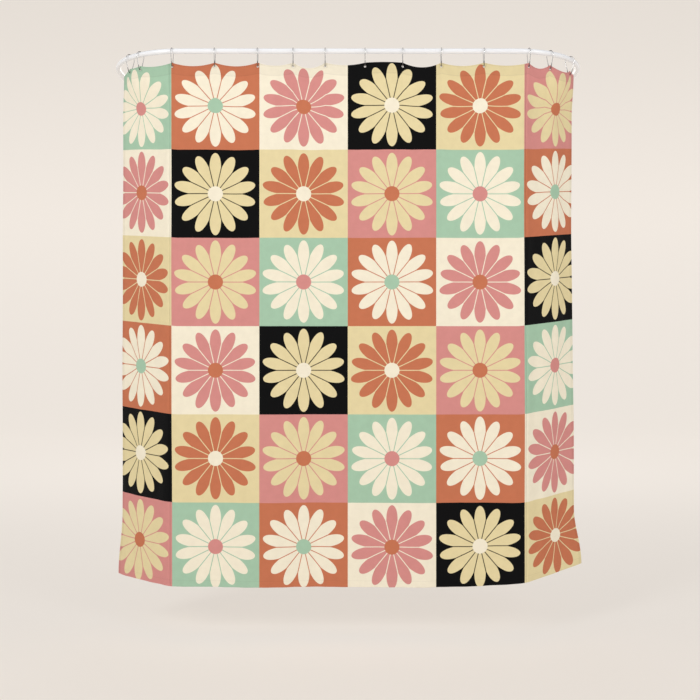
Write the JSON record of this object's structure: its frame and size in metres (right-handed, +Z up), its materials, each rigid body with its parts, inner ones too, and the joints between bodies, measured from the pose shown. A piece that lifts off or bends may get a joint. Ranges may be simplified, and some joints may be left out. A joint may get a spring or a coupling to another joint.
{
  "type": "shower curtain",
  "caption": "Flat hanging fabric shower curtain on wire rings, with a U-shaped tubular wall rail that its rings slide along.",
  "frame": {"origin": "on the wall, midway between the rail's two ends, at the height of the rail's centreline", "axes": "+Z up, -Y the curtain's printed face, +Y into the wall, +X to the right as seen from the front"},
  "size_m": [1.82, 0.7744, 1.951],
  "materials": {
    "fabric": "matt woven polyester with a printed check",
    "ring_wire": "bright nickel-plated wire",
    "rail_enamel": "glossy white enamel",
    "fixing_steel": "zinc-plated steel"
  },
  "bodies": {
    "rail": {"rail_front": "rail_enamel", "rail_left": "rail_enamel", "rail_right": "rail_enamel", "splice_sleeve_left": "fixing_steel", "splice_sleeve_right": "fixing_steel", "splice_screws": "fixing_steel", "wall_flange_left": "rail_enamel", "wall_flange_right": "rail_enamel", "wall_screws_left": "fixing_steel", "wall_screws_right": "fixing_steel", "flange_screws": "fixing_steel", "panel_front": "fabric", "top_hem_front": "fabric", "bottom_hem_front": "fabric", "panel_left": "fabric", "top_hem_left": "fabric", "bottom_hem_left": "fabric", "panel_right": "fabric", "top_hem_right": "fabric", "bottom_hem_right": "fabric", "ring_03": "ring_wire", "ring_04": "ring_wire", "ring_05": "ring_wire", "ring_06": "ring_wire", "ring_07": "ring_wire", "ring_08": "ring_wire", "ring_09": "ring_wire", "ring_10": "ring_wire", "ring_11": "ring_wire", "ring_12": "ring_wire"},
    "left_end": {"ring_01": "ring_wire", "side_hem_left": "fabric"},
    "ring_02": {"ring_02": "ring_wire"},
    "right_end": {"ring_14": "ring_wire", "side_hem_right": "fabric"},
    "ring_13": {"ring_13": "ring_wire"}
  },
  "joints": [
    {"name": "left_end_draw", "type": "hinge", "parent": "rail", "child": "left_end", "pos_m": [-0.605, -0.445, 0], "axis": [0, 0, 1], "range_deg": [0, 13], "deforming": ["panel_left", "top_hem_left", "bottom_hem_left"]},
    {"name": "ring_02_turn", "type": "hinge", "parent": "rail", "child": "ring_02", "pos_m": [-0.605, -0.445, 0], "axis": [0, 0, 1], "range_deg": [0, 9.89]},
    {"name": "right_end_draw", "type": "hinge", "parent": "rail", "child": "right_end", "pos_m": [0.605, -0.445, 0], "axis": [0, 0, -1], "range_deg": [0, 14], "deforming": ["panel_right", "top_hem_right", "bottom_hem_right"]},
    {"name": "ring_13_turn", "type": "hinge", "parent": "rail", "child": "ring_13", "pos_m": [0.605, -0.445, 0], "axis": [0, 0, -1], "range_deg": [0, 6.13]}
  ],
  "couplings": [
    {"joint": "ring_02_turn", "follows": "left_end_draw", "ratio": 0.75668},
    {"joint": "ring_13_turn", "follows": "right_end_draw", "ratio": 0.43431}
  ]
}
